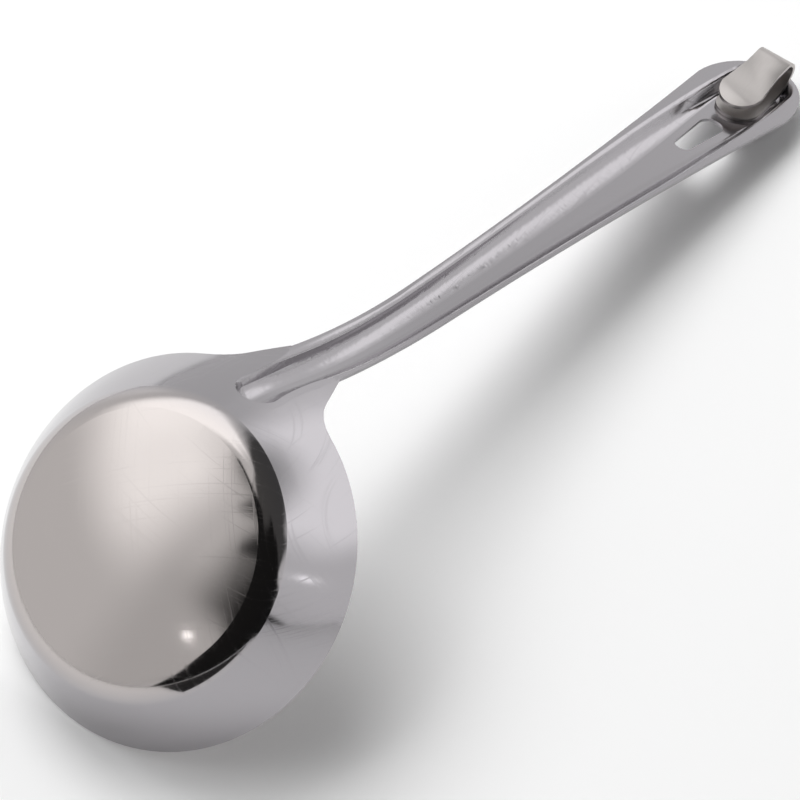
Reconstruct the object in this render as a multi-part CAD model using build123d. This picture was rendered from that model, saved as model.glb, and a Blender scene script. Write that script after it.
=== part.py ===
from build123d import *
import math
import os

# Soup ladle of pressed steel sheet, millimetres.
# It lies face down: the far rim of the bowl and the handle's end rest on the floor, z = 0.
# Every piece is first drawn in the bowl's own frame: the rim lies in z = 0 round the origin,
# the base of the bowl is above it, and the handle leaves along +X and runs down.

# Sheet
sheet = 0.9
hook_sheet = 1.0

# Bowl
rim_radius = 45.0
base_radius = 30.0
base_corner_radius = 9.0
base_edge_slope = 14.0
wall_foot_slope = 55.0
rim_slope = 60.0

# Neck of the bowl, which carries the handle
neck_height = 13.4
neck_end_width = 14.6
neck_lean = 26.0
neck_fillet = 8.0
tongue_length = 40.0

# Line of the handle, seen from the side
neck_slope = 64.2
neck_run = 14.0
handle_slope = 50.75
handle_bend_radius = 190.0
handle_length = 211.0

# Outline of the handle, seen from the back
waist_width = 14.3
flange_start_width = 15.0
handle_end_width = 28.8
end_round_length = 18.3
waist_share = 0.2
flare_power = 1.7
flange_start = 13.0

# Channel pressed along the handle
nose_reach = 12.5
nose_width = 12.4
channel_width = 21.0
channel_depth = 4.5
channel_end_width = 18.8
channel_end_land = 0.3
channel_edge_bend = 1.5
channel_edge_slope = 14.0
channel_ramp = 0.6
station_shares = (0.07, 0.17, 0.30, 0.45, 0.60, 0.73, 0.82, 0.89)
width_shares = (0.60, 0.62, 0.66, 0.76, 0.88, 0.98, 1.0, 0.98)
depth_shares = (1.0, 1.0, 1.0, 0.97, 0.93, 0.90, 0.89, 0.89)
wall_slopes = (66.0, 69.0, 67.0, 62.0, 56.0, 53.0, 56.0, 61.0)
floor_shares = (0.12, 0.12, 0.13, 0.16, 0.24, 0.36, 0.50, 0.62)
nose_depth_share = 0.92
nose_wall_slope = 60.0
nose_floor_share = 0.10
end_wall_slope = 62.0
end_floor_share = 0.62

# Hole for hanging the ladle on a nail
hole_length = 18.0
hole_wide = 7.4
hole_narrow = 4.6
hole_narrow_corner = 2.2
hole_wide_corner = 3.2
hole_to_end = 28.6

# Hook, a bent strip in the end of the channel
hook_width = 10.0
hook_tip_width = 12.6
hook_foot_width = 12.6
hook_foot_length = 14.6
hook_root_bend = 8.0
hook_root_to_end = 10.3
hook_seat_gap = 0.02
hook_lean = 18.0
hook_crest_bend = 2.4
hook_rise = 0.2
hook_droop = 18.0
hook_arm_length = 21.6

# Spot welds between the sheets
weld_diameter = 4.0
weld_thickness = 0.8
neck_weld_places = (4.0, 20.0)
hook_weld_places = (5.0, 10.5)

# Overrun of all cuts
overrun = 3.0


def sine(angle):
    return math.sin(math.radians(angle))


def cosine(angle):
    return math.cos(math.radians(angle))


# Profile of the bowl's wall

wall_run = rim_radius - base_radius - base_corner_radius * (sine(wall_foot_slope) - sine(base_edge_slope))
wall_radius = wall_run / (sine(rim_slope) - sine(wall_foot_slope))
wall_height = wall_radius * (cosine(wall_foot_slope) - cosine(rim_slope))
corner_height = base_corner_radius * (cosine(base_edge_slope) - cosine(wall_foot_slope))
crown_radius = base_radius / sine(base_edge_slope)
crown_height = crown_radius * (1 - cosine(base_edge_slope))
bowl_depth = wall_height + corner_height + crown_height
skirt = neck_height + overrun


def bowl_form(inset):
    """Solid inside the bowl's outer face, moved inwards by inset, with the cone that the neck follows."""
    foot_x = rim_radius - wall_run
    edge_x = base_radius
    crown_centre = bowl_depth - crown_radius
    corner_centre = (edge_x - base_corner_radius * sine(base_edge_slope),
                     wall_height + corner_height - base_corner_radius * cosine(base_edge_slope))
    wall_centre = (rim_radius - wall_radius * sine(rim_slope), -wall_radius * cosine(rim_slope))

    def on_arc(centre, radius, slope):
        return (centre[0] + (radius - inset) * sine(slope), centre[1] + (radius - inset) * cosine(slope))

    top = (0, crown_centre + crown_radius - inset)
    crown_middle = on_arc((0, crown_centre), crown_radius, base_edge_slope / 2)
    crown_end = on_arc((0, crown_centre), crown_radius, base_edge_slope)
    corner_middle = on_arc(corner_centre, base_corner_radius, (base_edge_slope + wall_foot_slope) / 2)
    corner_end = on_arc(corner_centre, base_corner_radius, wall_foot_slope)
    wall_middle = on_arc(wall_centre, wall_radius, (wall_foot_slope + rim_slope) / 2)
    wall_end = on_arc(wall_centre, wall_radius, rim_slope)
    skirt_end = (wall_end[0] + skirt * cosine(rim_slope) / sine(rim_slope), wall_end[1] - skirt)
    with BuildPart() as form:
        with BuildSketch(Plane.XZ):
            with BuildLine():
                ThreePointArc(top, crown_middle, crown_end)
                ThreePointArc(crown_end, corner_middle, corner_end)
                ThreePointArc(corner_end, wall_middle, wall_end)
                Polyline(wall_end, skirt_end, (0, skirt_end[1]), top)
            make_face()
        revolve(axis=Axis.Z)
    return form.part


def neck_keep():
    """Prism that keeps the bowl above the rim's plane and the flared neck below it."""
    reach = rim_radius + skirt
    half_end = neck_end_width / 2
    half_root = half_end + neck_height * math.tan(math.radians(neck_lean))
    with BuildPart() as keep:
        with BuildSketch(Plane.YZ):
            with BuildLine():
                Polyline((-reach, bowl_depth + overrun), (reach, bowl_depth + overrun), (reach, 0),
                         (half_root, 0), (half_end, -neck_height), (-half_end, -neck_height),
                         (-half_root, 0), (-reach, 0), close=True)
            make_face()
            corners = [v for v in vertices() if abs(abs(v.X) - half_root) < sheet and abs(v.Y) < sheet]
            fillet(corners, radius=neck_fillet)
        extrude(amount=reach)
        with BuildSketch(Plane.XY):
            Circle(reach)
        extrude(amount=bowl_depth + overrun)
    return keep.part


# Line of the handle: straight on the bowl's wall, steeper over the neck, then a long bend and a straight

neck_bend_radius = neck_run / math.radians(neck_slope - rim_slope)
long_bend_run = handle_bend_radius * math.radians(neck_slope - handle_slope)
straight_start = neck_run + long_bend_run


def slope_at(run):
    if run <= 0:
        return rim_slope
    if run <= neck_run:
        return rim_slope + math.degrees(run / neck_bend_radius)
    if run <= straight_start:
        return neck_slope - math.degrees((run - neck_run) / handle_bend_radius)
    return handle_slope


def point_at(run):
    """Place of the handle's line at a run from the rim, as x and z."""
    if run <= 0:
        return (rim_radius + run * cosine(rim_slope), -run * sine(rim_slope))
    slope = slope_at(min(run, neck_run))
    x = rim_radius + neck_bend_radius * (sine(slope) - sine(rim_slope))
    z = -neck_bend_radius * (cosine(rim_slope) - cosine(slope))
    if run <= neck_run:
        return (x, z)
    slope = slope_at(min(run, straight_start))
    x = x + handle_bend_radius * (sine(neck_slope) - sine(slope))
    z = z - handle_bend_radius * (cosine(slope) - cosine(neck_slope))
    rest = max(0, run - straight_start)
    return (x + rest * cosine(handle_slope), z - rest * sine(handle_slope))


def section_plane(run):
    """Plane across the handle: its x runs along Y, its y is the way out of the handle's back."""
    x, z = point_at(run)
    slope = slope_at(run)
    return Plane(origin=(x, 0, z), x_dir=(0, 1, 0), z_dir=(cosine(slope), 0, -sine(slope)))


def back_plane(run):
    """Plane of the handle's back: its x runs along the handle, its z out of the back."""
    x, z = point_at(run)
    slope = slope_at(run)
    return Plane(origin=(x, 0, z), x_dir=(cosine(slope), 0, -sine(slope)), z_dir=(sine(slope), 0, cosine(slope)))


# Channel sections

def section_half(half_width, depth, wall_slope, floor_half, grow, top):
    """Points of half a channel section from the middle of its floor to its top, grown outwards."""
    sine_wall = sine(wall_slope)
    cosine_wall = cosine(wall_slope)
    run = half_width - floor_half - channel_edge_bend * sine_wall
    drop = depth - channel_edge_bend * (1 - cosine_wall)
    floor_bend = (run * sine_wall - drop * cosine_wall) / (1 - cosine_wall)
    half = wall_slope / 2
    centre_y = floor_bend - depth
    bend = floor_bend + grow
    floor_end = (floor_half, -depth - grow)
    floor_middle = (floor_half + bend * sine(half), centre_y - bend * cosine(half))
    floor_top = (floor_half + bend * sine_wall, centre_y - bend * cosine_wall)
    edge = channel_edge_bend - grow
    edge_y = -channel_edge_bend
    if edge > 0:
        middle = (wall_slope + channel_edge_slope) / 2
        wall_top = (half_width - edge * sine_wall, edge_y + edge * cosine_wall)
        edge_middle = (half_width - edge * sine(middle), edge_y + edge * cosine(middle))
        edge_end = (half_width - edge * sine(channel_edge_slope), edge_y + edge * cosine(channel_edge_slope))
        out = channel_ramp * (1 + grow / sheet)
        ramp_end = (half_width + out,
                    edge_end[1] + (half_width + out - edge_end[0]) * sine(channel_edge_slope) / cosine(channel_edge_slope))
        return floor_end, floor_middle, floor_top, wall_top, edge_middle, edge_end, ramp_end, (ramp_end[0], top)
    climb = top - floor_top[1]
    wall_top = (floor_top[0] + climb * cosine_wall / sine_wall, top)
    return floor_end, floor_middle, floor_top, wall_top


def channel_wire(half, whole):
    """Closed outline of a whole section, or of its half at one side of the middle line."""
    with BuildSketch() as sketch:
        with BuildLine():
            ThreePointArc(half[0], half[1], half[2])
            Line(half[2], half[3])
            if len(half) > 4:
                ThreePointArc(half[3], half[4], half[5])
                Polyline(half[5], half[6], half[7])
            Line(half[-1], (0, half[-1][1]))
            Line((0, half[-1][1]), (0, half[0][1]))
            Line((0, half[0][1]), half[0])
        make_face()
        if whole:
            mirror(about=Plane.YZ)
    return sketch.sketch.faces()[0]


def station_sizes():
    """Half width, depth, wall slope and floor half width at each station, from the nose to the end."""
    nose_half = nose_width / 2
    end_half = channel_end_width / 2
    rows = [(nose_half - nose_reach, nose_half, channel_depth * nose_depth_share, nose_wall_slope,
             nose_half * nose_floor_share)]
    for share, width, depth, slope, floor in zip(station_shares, width_shares, depth_shares,
                                                 wall_slopes, floor_shares):
        half_width = channel_width / 2 * width
        rows.append((handle_length * share, half_width, channel_depth * depth, slope, half_width * floor))
    rows.append((handle_length - channel_end_land - end_half, end_half, channel_depth * depth_shares[-1],
                 end_wall_slope, end_half * end_floor_share))
    return rows


def channel_form(grow):
    """Solid that fills the channel, grown outwards by grow, with a round nose and a round end."""
    rows = station_sizes()
    faces = []
    for run, half_width, depth, slope, floor_half in rows:
        half = section_half(half_width, depth, slope, floor_half, grow, overrun)
        faces.append(section_plane(run) * channel_wire(half, True))
    form = loft(faces)
    for row, turn in ((rows[0], 180), (rows[-1], -180)):
        run, half_width, depth, slope, floor_half = row
        half = section_half(half_width, depth, slope, floor_half, grow, overrun)
        plane = section_plane(run)
        face = plane * channel_wire(half, False)
        form = form + revolve(face, Axis(plane.origin, plane.y_dir), turn)
    return form


# Outline of the handle

def half_width_at(run):
    waist = handle_length * waist_share
    widest = handle_length - end_round_length
    half_waist = waist_width / 2
    if run < waist:
        share = (waist - run) / (waist - flange_start)
        return half_waist + (flange_start_width / 2 - half_waist) * share ** 2
    share = (run - waist) / (widest - waist)
    return half_waist + (handle_end_width / 2 - half_waist) * share ** flare_power


def outline_prism():
    """Prism of the handle's outline, square to the straight part of its back."""
    plane = back_plane(straight_start)
    widest = handle_length - end_round_length
    side_steps = 9
    side = []
    for step in range(side_steps + 1):
        run = flange_start + (widest - flange_start) * step / side_steps
        x, z = point_at(run)
        side.append((plane.to_local_coords(Vector(x, 0, z)).X, half_width_at(run)))
    start, half_start = side[0]
    back = start - channel_width
    centre = side[-1][0]
    with BuildPart() as prism:
        with BuildSketch(plane):
            with BuildLine():
                Spline(*side)
                Spline(*[(x, -y) for x, y in side])
                EllipticalCenterArc((centre, 0), end_round_length, handle_end_width / 2, -90, arc_size=180)
                Polyline((start, half_start), (back, half_start), (back, -half_start), (start, -half_start))
            make_face()
        extrude(amount=handle_length / 2, both=True)
    return prism.part


def back_band(upper, lower, start, finish):
    """Band along the handle between two levels at its back, wider than the handle."""
    def at(run, level):
        plane = back_plane(run)
        spot = plane.origin + plane.z_dir * level
        return (spot.X, spot.Z)

    def side(level):
        neck = (start + neck_run) / 2
        bend = (neck_run + straight_start) / 2
        with BuildLine() as line:
            if start < neck_run:
                ThreePointArc(at(start, level), at(neck, level), at(neck_run, level))
            ThreePointArc(at(neck_run, level), at(bend, level), at(straight_start, level))
            Line(at(straight_start, level), at(finish, level))
        return line.line

    with BuildPart() as band:
        with BuildSketch(Plane.XZ):
            with BuildLine():
                add(side(upper))
                add(side(lower))
                Line(at(start, upper), at(start, lower))
                Line(at(finish, upper), at(finish, lower))
            make_face()
        extrude(amount=handle_end_width, both=True)
    return band.part


# Pieces

def make_bowl(outer, inner, seat, trough):
    """Bowl with its flared neck and the tongue that runs on under the handle."""
    shell = (outer - inner) & neck_keep()
    tongue = (trough & tongue_keep(outer)) - seat
    return (shell + tongue) - seat


def tongue_keep(outer):
    """Room for the tongue: inside the bowl's outer face up to the flanges, then under the flanges."""
    start = section_plane(flange_start)
    size = rim_radius * 2
    before = start * Pos(0, 0, -size / 2) * Box(size, size, size)
    plane = back_plane(flange_start)
    with BuildPart() as plan:
        with BuildSketch(plane):
            Ellipse(tongue_length - flange_start, neck_end_width / 2 + sheet)
        extrude(amount=size, both=True)
    after = back_band(-sheet, -channel_depth * 2, flange_start, tongue_length + overrun) & plan.part
    return (outer & before) + after


def make_handle(outer, seat, channel):
    """Handle: a channel with flanges from the neck to the round end."""
    start = section_plane(flange_start)
    size = rim_radius * 2
    before = start * Pos(0, 0, -size / 2) * Box(size, size, size)
    nose = (seat - channel) & outer & before
    finish = handle_length + overrun
    under = back_band(0, -channel_depth * 2, flange_start, finish)
    outline = outline_prism()
    flanges = back_band(0, -sheet, flange_start, finish) & outline
    body = ((seat & under & outline) + flanges) - channel
    return nose + body - hanging_hole()


def hanging_hole():
    plane = back_plane(handle_length - hole_to_end)
    with BuildPart() as hole:
        with BuildSketch(plane):
            with BuildLine():
                Polyline((-hole_length, -hole_narrow / 2), (0, -hole_wide / 2), (0, hole_wide / 2),
                         (-hole_length, hole_narrow / 2), close=True)
            make_face()
            fillet([v for v in vertices() if v.X < -hole_length / 2], radius=hole_narrow_corner)
            fillet([v for v in vertices() if v.X > -hole_narrow_corner], radius=hole_wide_corner)
        extrude(amount=channel_depth * 3, both=True)
    return hole.part


def hook_frame():
    """Frame of the hook: its origin is just over the channel's floor, where the root bend starts."""
    depth = station_sizes()[-1][2]
    return back_plane(handle_length - hook_root_to_end).offset(hook_seat_gap - depth)


def make_hook():
    """Hook: a strip with a foot on the channel's floor, a root bend, a crest bend and an arm to the bowl."""
    plane = hook_frame()
    middle = hook_sheet / 2
    root = hook_root_bend + middle
    crest = hook_crest_bend + middle
    rise_start = (root * cosine(hook_lean), middle + root * (1 - sine(hook_lean)))
    rise_end = (rise_start[0] + hook_rise * sine(hook_lean), rise_start[1] + hook_rise * cosine(hook_lean))
    crest_centre = (rise_end[0] - crest * cosine(hook_lean), rise_end[1] + crest * sine(hook_lean))
    half_turn = (90 + hook_droop - hook_lean) / 2
    crest_middle = (crest_centre[0] + crest * cosine(half_turn), crest_centre[1] + crest * sine(half_turn))
    crest_end = (crest_centre[0] - crest * sine(hook_droop), crest_centre[1] + crest * cosine(hook_droop))
    tip = (crest_end[0] - hook_arm_length * cosine(hook_droop), crest_end[1] - hook_arm_length * sine(hook_droop))
    side_plane = Plane(origin=plane.origin, x_dir=plane.x_dir, z_dir=-plane.y_dir)
    with BuildPart() as strip:
        with BuildLine(side_plane) as path:
            Line((-hook_foot_length, middle), (0, middle))
            RadiusArc((0, middle), rise_start, -root)
            Line(rise_start, rise_end)
            ThreePointArc(rise_end, crest_middle, crest_end)
            Line(crest_end, tip)
        with BuildSketch(Plane(origin=path.line @ 0, x_dir=(0, 1, 0), z_dir=path.line % 0)):
            Rectangle(hook_tip_width, hook_sheet)
        sweep()
    level = rise_start[1]
    foot = strip_outline(plane, -hook_foot_length, hook_foot_width)
    arm = strip_outline(plane, tip[0], hook_tip_width)
    size = handle_length
    low = plane * Pos(0, 0, level - size / 2) * Box(size, size, size)
    return (strip.part & foot & low) + ((strip.part & arm) - low)


def strip_outline(plane, tip, tip_width):
    """Prism of a strip that is hook_width wide at its bends and ends in a round tip."""
    half = hook_width / 2
    half_tip = tip_width / 2
    reach = hook_root_bend + hook_sheet + overrun
    with BuildPart() as prism:
        with BuildSketch(plane):
            with BuildLine():
                Polyline((tip + half_tip, half_tip), (0, half), (reach, half),
                         (reach, -half), (0, -half), (tip + half_tip, -half_tip))
                ThreePointArc((tip + half_tip, -half_tip), (tip, 0), (tip + half_tip, half_tip))
            make_face()
        extrude(amount=handle_length / 2, both=True)
    return prism.part


def weld_nugget(plane, level):
    return plane * Pos(0, 0, level) * Cylinder(weld_diameter / 2, weld_thickness)


def depth_at(run):
    """Depth of the channel at a run, between its stations."""
    rows = station_sizes()
    for (run_a, _, depth_a, _, _), (run_b, _, depth_b, _, _) in zip(rows, rows[1:]):
        if run_a <= run <= run_b:
            return depth_a + (depth_b - depth_a) * (run - run_a) / (run_b - run_a)
    return rows[-1][2]


def make_neck_welds():
    """Two spot welds between the handle's floor and the bowl's tongue."""
    return [weld_nugget(back_plane(run), -depth_at(run) - sheet) for run in neck_weld_places]


def make_hook_welds():
    """Two spot welds between the hook's foot and the handle's floor."""
    plane = hook_frame()
    return [weld_nugget(Plane(origin=plane.origin - plane.x_dir * place, x_dir=plane.x_dir, z_dir=plane.z_dir), 0)
            for place in hook_weld_places]


def build():
    outer = bowl_form(0)
    inner = bowl_form(sheet)
    channel = channel_form(0)
    seat = channel_form(sheet)
    trough = channel_form(sheet * 2)
    neck_welds = make_neck_welds()
    hook_welds = make_hook_welds()
    handle = make_handle(outer, seat, channel)
    bowl = make_bowl(outer, inner, seat, trough) - handle
    hook = make_hook()
    for nugget in neck_welds:
        bowl = bowl - nugget
        handle = handle - nugget
    for nugget in hook_welds:
        handle = handle - nugget
        hook = hook - nugget
    return {"bowl": bowl, "handle": handle, "hanging_hook": hook,
            "neck_spot_welds": Compound(children=neck_welds), "hook_spot_welds": Compound(children=hook_welds)}


def lay_down(pieces):
    """Tip the ladle until its far rim and the handle's end touch the floor, with its box centred on the origin."""
    tilt = handle_slope * 0.75
    length = rim_radius + handle_length
    for _ in range(4):
        turn = Rot(0, -tilt, 0)
        rim_low = (turn * pieces["bowl"]).bounding_box().min.Z
        end_low = min((turn * pieces[name]).bounding_box().min.Z for name in ("handle", "hanging_hook"))
        tilt = tilt + math.degrees(math.atan2(rim_low - end_low, length))
    turn = Rot(0, -tilt, 0)
    boxes = [(turn * piece).bounding_box() for piece in pieces.values()]
    low = min(box.min.Z for box in boxes)
    middle = (min(box.min.X for box in boxes) + max(box.max.X for box in boxes)) / 2
    return {name: Pos(-middle, 0, -low) * turn * piece for name, piece in pieces.items()}, tilt


os.makedirs("parts", exist_ok=True)
laid, tilt = lay_down(build())
print("bowl depth", round(bowl_depth, 2), "rest tilt", round(tilt, 3))
for name, piece in laid.items():
    print(name, "solids", len(piece.solids()), "volume", round(piece.volume, 1), piece.bounding_box())
    export_step(piece, f"parts/{name}.step")
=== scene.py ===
import math

import bpy
from mathutils import Matrix, Vector


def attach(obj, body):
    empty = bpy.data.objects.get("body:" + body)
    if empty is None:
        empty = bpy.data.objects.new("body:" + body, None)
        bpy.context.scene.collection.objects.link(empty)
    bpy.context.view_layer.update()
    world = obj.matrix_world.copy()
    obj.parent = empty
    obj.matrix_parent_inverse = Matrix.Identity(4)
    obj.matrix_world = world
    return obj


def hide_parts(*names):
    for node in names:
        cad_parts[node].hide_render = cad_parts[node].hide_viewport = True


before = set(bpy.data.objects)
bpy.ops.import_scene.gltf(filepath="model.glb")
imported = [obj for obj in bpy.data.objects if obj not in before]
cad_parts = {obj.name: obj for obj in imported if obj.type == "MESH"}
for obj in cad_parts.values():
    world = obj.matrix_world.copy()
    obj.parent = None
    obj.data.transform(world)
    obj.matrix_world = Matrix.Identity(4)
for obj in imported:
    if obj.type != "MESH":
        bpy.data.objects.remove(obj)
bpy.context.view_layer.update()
bpy.ops.object.select_all(action="DESELECT")

# The bowl as it rests: its rim's plane is tipped up by rest_tilt, with the far edge on the floor.
# Heights are taken from the rim's plane, and the crown is the slight dome of the base.
rest_tilt = math.radians(38.584)
rim_centre = Vector((-0.10098, 0.0, 0.02806))
base_level = 0.019
bowl_depth = 0.02264
crown_radius = 0.124
pole_radius = 0.005


def from_bowl(x, y, z):
    """A direction given in the bowl's own frame, x to the handle and z out of the base."""
    return Matrix.Rotation(-rest_tilt, 3, "Y") @ Vector((x, y, z))


def direction(azimuth, elevation):
    """A direction given by its angles, in degrees."""
    turn = math.radians(azimuth)
    rise = math.radians(elevation)
    level = math.cos(rise)
    return Vector((level * math.cos(turn), level * math.sin(turn), math.sin(rise)))


base_way = from_bowl(0.0, 0.0, 1.0)


# Node helpers

def new_material(name):
    material = bpy.data.materials.new(name)
    material.use_nodes = True
    nodes = material.node_tree.nodes
    nodes.clear()
    shader = nodes.new("ShaderNodeBsdfPrincipled")
    out = nodes.new("ShaderNodeOutputMaterial")
    material.node_tree.links.new(shader.outputs["BSDF"], out.inputs["Surface"])
    return material, shader


def set_socket(owner, socket, value):
    if isinstance(value, bpy.types.NodeSocket):
        owner.node_tree.links.new(value, socket)
    else:
        socket.default_value = value


def add_node(owner, kind, **settings):
    """A node with its settings. A setting that has an input socket's name sets that socket."""
    node = owner.node_tree.nodes.new(kind)
    for name, value in settings.items():
        socket_name = name.replace("_", " ")
        if socket_name in node.inputs:
            set_socket(owner, node.inputs[socket_name], value)
        else:
            setattr(node, name, value)
    return node


def operation_node(owner, kind, operation, values):
    """A math node whose first inputs take the values in turn."""
    node = add_node(owner, kind, operation=operation)
    for socket, value in zip(node.inputs, values):
        set_socket(owner, socket, value)
    return node


def math_node(owner, operation, *values):
    return operation_node(owner, "ShaderNodeMath", operation, values).outputs["Value"]


def vector_node(owner, operation, *values):
    return operation_node(owner, "ShaderNodeVectorMath", operation, values)


# Places of a mix node's first value, second value and result among its sockets
mix_sockets = {"FLOAT": (2, 3, 0), "RGBA": (6, 7, 2)}


def mix(owner, data_type, share, first, second):
    """Goes from the first value to the second as the share goes from 0 to 1."""
    first_place, second_place, result_place = mix_sockets[data_type]
    node = add_node(owner, "ShaderNodeMix", data_type=data_type)
    set_socket(owner, node.inputs[0], share)
    set_socket(owner, node.inputs[first_place], first)
    set_socket(owner, node.inputs[second_place], second)
    return node.outputs[result_place]


def rise_between(owner, value, low, high, interpolation="LINEAR"):
    """Goes from 0 to 1 while the value goes from low to high."""
    node = add_node(owner, "ShaderNodeMapRange", interpolation_type=interpolation, Value=value,
                    From_Min=low, From_Max=high)
    return node.outputs["Result"]


def stretched_noise(material, place, size, turn=(0.0, 0.0, 0.0), detail=2.0):
    """Noise whose grains have the three sizes given, in metres, after a turn about the axes."""
    mapping = add_node(material, "ShaderNodeMapping", vector_type="TEXTURE", Vector=place,
                       Rotation=turn, Scale=size)
    noise = add_node(material, "ShaderNodeTexNoise", Vector=mapping.outputs["Vector"], Scale=1.0,
                     Detail=detail)
    return noise.outputs["Fac"]


def ramp(material, value, stops):
    node = add_node(material, "ShaderNodeValToRGB", Fac=value)
    elements = node.color_ramp.elements
    while len(elements) < len(stops):
        elements.new(1.0)
    for element, (position, level) in zip(elements, stops):
        element.position = position
        element.color = (level, level, level, 1.0)
    return node.outputs["Color"]


def bump(material, shader, height, strength, distance):
    node = add_node(material, "ShaderNodeBump", Strength=strength, Distance=distance, Height=height)
    set_socket(material, shader.inputs["Normal"], node.outputs["Normal"])


# Materials

# On the bowl, the base's lighter, warmer colour is a painted sheen and the walls' darker colour is
# painted shade; the handle takes the wall colour all over.
wall_tint = (0.40, 0.385, 0.402, 1.0)
painted_base_sheen = (0.55, 0.51, 0.495, 1.0)
sheen_fade = 0.004
bowl_roughness = 0.065
handle_roughness = 0.11

hair_size = (0.0003, 0.03, 0.03)
hair_turns = ((0.3, 0.2, 0.5), (1.2, 0.7, 1.9), (0.5, 1.4, 2.6))
hair_stops = ((0.62, 0.0), (0.72, 1.0))
hair_roughness = 0.10
hair_bump = 0.03
hair_depth = 0.00003
haze_size = (0.02, 0.02, 0.02)
haze_roughness = 0.05

grain_size = (0.004, 0.00008, 0.0005)
grain_dark_tint = (0.44, 0.415, 0.405, 1.0)
grain_light_tint = (0.60, 0.57, 0.555, 1.0)
satin_roughness = 0.36
grain_roughness = 0.15
grain_bump = 0.1
grain_depth = 0.00004


def polished_steel(name, wall, base, roughness):
    """Mirror-bright steel with hair scratches, a faint haze, and a painted sheen on the base: a
    lighter, warmer colour there than on the walls, which are left darker as painted shade.
    """
    material, shader = new_material(name)
    shader.inputs["Metallic"].default_value = 1.0
    place = add_node(material, "ShaderNodeTexCoord").outputs["Object"]
    from_rim = vector_node(material, "SUBTRACT", place, rim_centre).outputs["Vector"]
    height = vector_node(material, "DOT_PRODUCT", from_rim, base_way).outputs["Value"]
    # Painted sheen and shade: the colour goes from the darker wall colour to the lighter base
    # colour over a short fade below base_level.
    share = rise_between(material, height, base_level - sheen_fade, base_level)
    set_socket(material, shader.inputs["Base Color"], mix(material, "RGBA", share, wall, base))
    scratches = None
    for turn in hair_turns:
        hairs = stretched_noise(material, place, hair_size, turn, detail=1.0)
        lines = ramp(material, hairs, hair_stops)
        scratches = math_node(material, "MAXIMUM", scratches, lines) if scratches else lines
    cloud = stretched_noise(material, place, haze_size, detail=4.0)
    haze = math_node(material, "MULTIPLY", cloud, haze_roughness)
    rough = math_node(material, "MULTIPLY_ADD", scratches, hair_roughness, roughness)
    set_socket(material, shader.inputs["Roughness"], math_node(material, "ADD", rough, haze))
    bump(material, shader, scratches, hair_bump, hair_depth)
    return material


def satin_steel(name):
    """Steel with a fine even satin grain."""
    material, shader = new_material(name)
    shader.inputs["Metallic"].default_value = 1.0
    place = add_node(material, "ShaderNodeTexCoord").outputs["Object"]
    grain = stretched_noise(material, place, grain_size, detail=3.0)
    tint = mix(material, "RGBA", grain, grain_dark_tint, grain_light_tint)
    set_socket(material, shader.inputs["Base Color"], tint)
    rough = math_node(material, "MULTIPLY_ADD", grain, grain_roughness, satin_roughness)
    set_socket(material, shader.inputs["Roughness"], rough)
    bump(material, shader, grain, grain_bump, grain_depth)
    return material


def grey_paint(name, level, roughness):
    material, shader = new_material(name)
    shader.inputs["Base Color"].default_value = (level, level, level, 1.0)
    shader.inputs["Roughness"].default_value = roughness
    return material


# The ladle's pieces

edge_round = 0.00014
edge_segments = 2
edge_angle = math.radians(50)
smooth_angle = math.radians(30)
merge_distance = 1e-6


def dress(mesh, material):
    mesh.materials.clear()
    mesh.materials.append(material)


def copy_node(node, name):
    """A copy of a node's mesh under its own name, selected and active."""
    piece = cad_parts[node].copy()
    piece.data = piece.data.copy()
    piece.name = name
    bpy.context.collection.objects.link(piece)
    bpy.ops.object.select_all(action="DESELECT")
    piece.select_set(True)
    bpy.context.view_layer.objects.active = piece
    return piece


def eased_copy(node, material):
    """Puts a copy with its sheet edges rounded, as tumbling leaves them, in the node's place."""
    piece = copy_node(node, node + "_sheet")
    bpy.ops.object.mode_set(mode="EDIT")
    bpy.ops.mesh.select_all(action="SELECT")
    bpy.ops.mesh.remove_doubles(threshold=merge_distance)
    bpy.ops.object.mode_set(mode="OBJECT")
    bevel = piece.modifiers.new("edge", "BEVEL")
    bevel.width = edge_round
    bevel.segments = edge_segments
    bevel.limit_method = "ANGLE"
    bevel.angle_limit = edge_angle
    bpy.ops.object.modifier_apply(modifier="edge")
    bpy.ops.object.shade_smooth_by_angle(angle=smooth_angle)
    dress(piece.data, material)
    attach(piece, "root")
    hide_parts(node)


def is_crown(face):
    """True where a face lies on the base's crown, within pole_radius of its middle."""
    place = face.center - rim_centre
    height = place.dot(base_way)
    return height > base_level and (place - base_way * height).length < pole_radius


def smooth_base(material):
    """Puts a copy of the bowl in its place, with the shading set right at the base's middle.

    The crown's faces all meet in one point there, so they are split before their normals are set.
    """
    piece = copy_node("bowl", "bowl_shell")
    mesh = piece.data
    normals = [Vector(corner.vector) for corner in mesh.corner_normals]
    bpy.ops.object.mode_set(mode="EDIT")
    bpy.ops.mesh.select_mode(type="FACE")
    bpy.ops.mesh.select_all(action="DESELECT")
    bpy.ops.object.mode_set(mode="OBJECT")
    for face in mesh.polygons:
        face.select = is_crown(face)
    bpy.ops.object.mode_set(mode="EDIT")
    bpy.ops.mesh.edge_split(type="EDGE")
    bpy.ops.object.mode_set(mode="OBJECT")
    crown_centre = rim_centre + base_way * (bowl_depth - crown_radius)
    for face in mesh.polygons:
        if is_crown(face):
            side = 1 if face.normal.dot(base_way) > 0 else -1
            for corner in face.loop_indices:
                out = mesh.vertices[mesh.loops[corner].vertex_index].co - crown_centre
                normals[corner] = out.normalized() * side
    mesh.normals_split_custom_set(normals)
    dress(mesh, material)
    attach(piece, "root")
    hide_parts("bowl")


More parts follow.
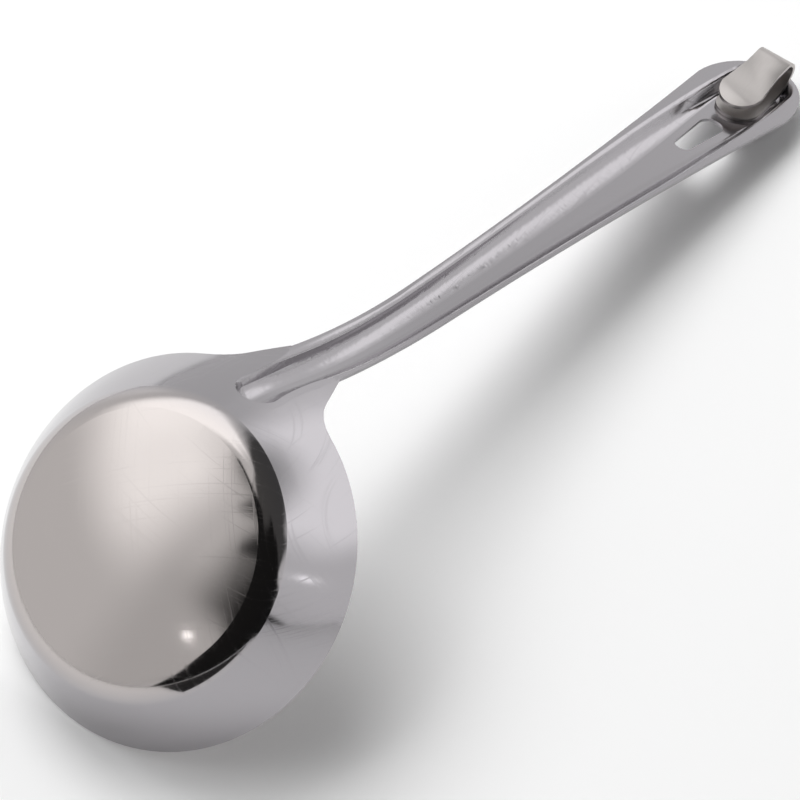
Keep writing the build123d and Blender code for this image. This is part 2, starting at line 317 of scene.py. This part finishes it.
# The bowl's steel carries the painted sheen on its base and painted shade on its walls.
steel = polished_steel("polished_steel", wall_tint, painted_base_sheen, bowl_roughness)
soft_steel = polished_steel("soft_polished_steel", wall_tint, wall_tint, handle_roughness)
satin = satin_steel("satin_steel")
node_materials = {
    "bowl": steel,
    "neck_spot_welds": steel,
    "hook_spot_welds": steel,
    "handle": soft_steel,
    "hanging_hook": satin,
}
for node, material in node_materials.items():
    dress(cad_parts[node].data, material)
smooth_base(steel)
eased_copy("hanging_hook", satin)


# Floor, black card, camera and light

floor_size = 6.0
floor_drop = 0.0005
card_azimuth = -142.0
card_radius = 0.6
card_gap = 0.085
card_lift = 0.0005
ladle_middle = Vector((-0.03, 0.0, 0.03))


def make_floor():
    bpy.ops.mesh.primitive_plane_add(size=floor_size, location=(0, 0, -floor_drop))
    floor = bpy.context.object
    floor.name = "floor"
    dress(floor.data, grey_paint("floor_paint", 0.93, 0.9))


def make_black_card():
    """Triangle of black card beside the ladle, which shows only in mirror reflections."""
    middle = rim_centre + direction(card_azimuth, 0.0) * (card_gap + card_radius)
    middle.z = card_lift
    bpy.ops.mesh.primitive_circle_add(vertices=3, radius=card_radius, fill_type="NGON",
                                      location=middle,
                                      rotation=(0, 0, math.radians(card_azimuth + 90)))
    card = bpy.context.object
    card.name = "black_card"
    dress(card.data, grey_paint("card_paper", 0.012, 0.8))
    card.visible_camera = False
    card.visible_diffuse = False
    card.visible_shadow = False


def make_camera():
    """Camera where the rim's outline in the photo puts it, given in the bowl's own frame."""
    data = bpy.data.cameras.new("camera")
    data.sensor_width = 36.0
    data.lens = 135.0
    data.clip_start = 0.05
    camera = bpy.data.objects.new("camera", data)
    bpy.context.collection.objects.link(camera)
    right = from_bowl(0.5131, -0.7653, -0.3886)
    up = from_bowl(0.8540, 0.5005, 0.1418)
    back = from_bowl(0.0860, -0.4046, 0.9104)
    place = rim_centre + from_bowl(0.1129, -0.2947, 0.5989)
    turn = Matrix((right, up, back)).transposed().to_4x4()
    camera.matrix_world = Matrix.Translation(place) @ turn
    bpy.context.scene.camera = camera


def soft_box(name, azimuth, elevation, distance, width, height, power):
    """Area lamp that faces the ladle's middle and doesn't show in mirror reflections."""
    way = direction(azimuth, elevation)
    data = bpy.data.lights.new(name, "AREA")
    data.shape = "RECTANGLE"
    data.size = width
    data.size_y = height
    data.energy = power
    lamp = bpy.data.objects.new(name, data)
    bpy.context.collection.objects.link(lamp)
    turn = way.to_track_quat("Z", "Y").to_matrix().to_4x4()
    lamp.matrix_world = Matrix.Translation(ladle_middle + way * distance) @ turn
    lamp.visible_glossy = False


class StudioSky:
    """World shader made of soft-edged patches, placed by azimuth and elevation in degrees."""

    def __init__(self, name, level):
        self.world = bpy.data.worlds.new(name)
        self.world.use_nodes = True
        self.node_tree = self.world.node_tree
        self.node_tree.nodes.clear()
        place = add_node(self, "ShaderNodeTexCoord").outputs["Generated"]
        split = add_node(self, "ShaderNodeSeparateXYZ", Vector=place)
        self.azimuth = math_node(self, "ARCTAN2", split.outputs["Y"], split.outputs["X"])
        self.elevation = math_node(self, "ARCSINE", split.outputs["Z"])
        self.open_level = level
        self.level = level

    def window(self, angle, low, high, soft):
        """One between two angles and zero outside them, also where it runs over the half turn."""
        offset = math_node(self, "SUBTRACT", angle, math.radians((low + high) / 2))
        wrapped = math_node(self, "WRAP", offset, math.pi, -math.pi)
        distance = math_node(self, "ABSOLUTE", wrapped)
        half = (high - low) / 2
        outer = math.radians(half + soft / 2)
        inner = math.radians(half - soft / 2)
        return rise_between(self, distance, outer, inner, "SMOOTHSTEP")

    def patch(self, level, azimuths, elevations, softness):
        """Brings the sky to a level inside a patch. The softness is along, then up."""
        across = self.window(self.azimuth, *azimuths, softness[0])
        upward = self.window(self.elevation, *elevations, softness[1])
        inside = math_node(self, "MULTIPLY", across, upward)
        self.level = mix(self, "FLOAT", inside, self.level, level)

    def hang(self):
        """The patches light the ladle, and the camera itself sees the plain open level."""
        seen = add_node(self, "ShaderNodeLightPath").outputs["Is Camera Ray"]
        strength = mix(self, "FLOAT", seen, self.level, self.open_level)
        light = add_node(self, "ShaderNodeBackground", Strength=strength)
        add_node(self, "ShaderNodeOutputWorld", Surface=light.outputs["Background"])
        bpy.context.scene.world = self.world


open_level = 0.95
dark_level = 0.015

# Level, azimuths, elevations and softness of each patch. A later patch covers the ones before it.
sky_patches = (
    (1.20, (-90, 75), (-90, 24), (24, 14)),
    (1.95, (-62, 12), (18, 34), (24, 8)),
    (0.95, (26, 56), (-2, 38), (16, 10)),
    (0.78, (158, 184), (-30, 44), (16, 12)),
    (1.80, (88, 150), (34, 62), (26, 18)),
    (0.30, (-180, 180), (68, 91), (0, 10)),
    (0.10, (-186, 14), (38, 91), (20, 8)),
    (0.10, (-130, -64), (30, 91), (10, 6)),
    (2.1, (32, 118), (40, 80), (22, 14)),
    (dark_level, (-175, -94), (-16, 56), (2, 8)),
    (dark_level, (-178.5, -94), (36, 68), (2, 6)),
    (dark_level, (-110, -88), (12, 56), (4, 6)),
    (dark_level, (174, 200), (53, 72), (4, 3)),
    (dark_level, (162, 200), (59.5, 72), (5, 2)),
    (dark_level, (137, 200), (62.5, 72), (5, 2)),
    (4.5, (174.2, 176.6), (31, 32.4), (1, 1)),
    (3.0, (-76.5, -73.5), (13, 15.5), (2, 2)),
)


def make_sky():
    sky = StudioSky("studio", open_level)
    for level, azimuths, elevations, softness in sky_patches:
        sky.patch(level, azimuths, elevations, softness)
    sky.hang()


make_floor()
make_black_card()
make_camera()
make_sky()
soft_box("key_light", azimuth=80.0, elevation=56.0, distance=1.2, width=0.9, height=0.7, power=9.0)

bpy.context.scene.view_settings.view_transform = "Standard"
